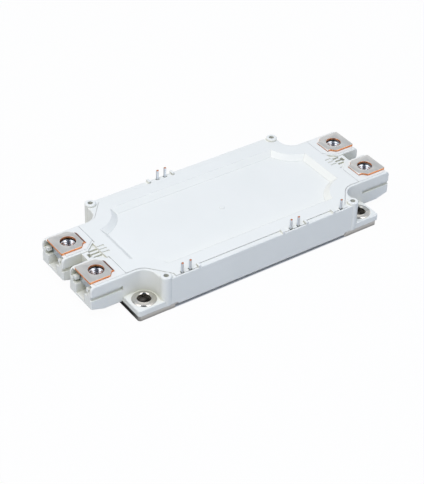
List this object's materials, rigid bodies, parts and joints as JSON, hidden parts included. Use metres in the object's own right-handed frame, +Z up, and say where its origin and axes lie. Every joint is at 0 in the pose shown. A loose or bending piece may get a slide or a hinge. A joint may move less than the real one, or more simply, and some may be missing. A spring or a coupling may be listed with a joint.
{
  "type": "power transistor module",
  "caption": "Flat power module: metal baseplate, off-white plastic frame and lid, screw terminals on end towers, upright control pins and bushed mounting ears.",
  "frame": {"origin": "centre of the baseplate's bottom face", "axes": "+X along the long side, +Y across it from the side with most control pins to the other, +Z up, away from the heatsink"},
  "size_m": [0.152, 0.0628, 0.0208],
  "materials": {
    "baseplate": "nickel plated copper, satin",
    "housing_plastic": "moulded, off-white",
    "lid_plastic": "moulded, off-white",
    "adhesive": "cured silicone",
    "terminal": "plated copper, bare at the sheared edges",
    "nut": "zinc plated steel",
    "bush": "turned and nickel plated",
    "pin": "tinned copper",
    "solder": "dull solder",
    "bare_copper": "bare copper",
    "ceramic": "fired alumina",
    "chip": "metallised silicon",
    "sensor": "fired body",
    "bond_wire": "drawn",
    "gel": "clear soft gel"
  },
  "bodies": {
    "root": {"back_copper_left": "bare_copper", "back_copper_middle": "bare_copper", "back_copper_right": "bare_copper", "base_solder_left": "solder", "base_solder_middle": "solder", "base_solder_right": "solder", "baseplate": "baseplate", "bridge_wires_left": "bond_wire", "bridge_wires_right": "bond_wire", "ceramic_plate_left": "ceramic", "ceramic_plate_middle": "ceramic", "ceramic_plate_right": "ceramic", "chip_wires_left": "bond_wire", "chip_wires_middle": "bond_wire", "chip_wires_right": "bond_wire", "control_pin_1": "pin", "control_pin_2": "pin", "control_pin_3": "pin", "control_pin_4": "pin", "control_pin_5": "pin", "control_pin_6": "pin", "control_pin_7": "pin", "control_wires": "bond_wire", "copper_tracks_left": "bare_copper", "copper_tracks_middle": "bare_copper", "copper_tracks_right": "bare_copper", "diode_chip_1": "chip", "diode_chip_2": "chip", "diode_chip_3": "chip", "diode_chip_4": "chip", "diode_chip_5": "chip", "diode_chip_6": "chip", "frame_adhesive": "adhesive", "housing_frame": "housing_plastic", "igbt_chip_1": "chip", "igbt_chip_2": "chip", "igbt_chip_3": "chip", "igbt_chip_4": "chip", "igbt_chip_5": "chip", "igbt_chip_6": "chip", "lid": "lid_plastic", "mounting_bush_left_back": "bush", "mounting_bush_left_front": "bush", "mounting_bush_right_back": "bush", "mounting_bush_right_front": "bush", "power_terminal_left_back": "terminal", "power_terminal_left_front": "terminal", "power_terminal_right_back": "terminal", "power_terminal_right_front": "terminal", "silicone_gel": "gel", "temperature_sensor": "sensor", "terminal_nut_left_back": "nut", "terminal_nut_left_front": "nut", "terminal_nut_right_back": "nut", "terminal_nut_right_front": "nut", "terminal_wires_left_back": "bond_wire", "terminal_wires_left_front": "bond_wire", "terminal_wires_right_back": "bond_wire", "terminal_wires_right_front": "bond_wire"}
  },
  "joints": []
}
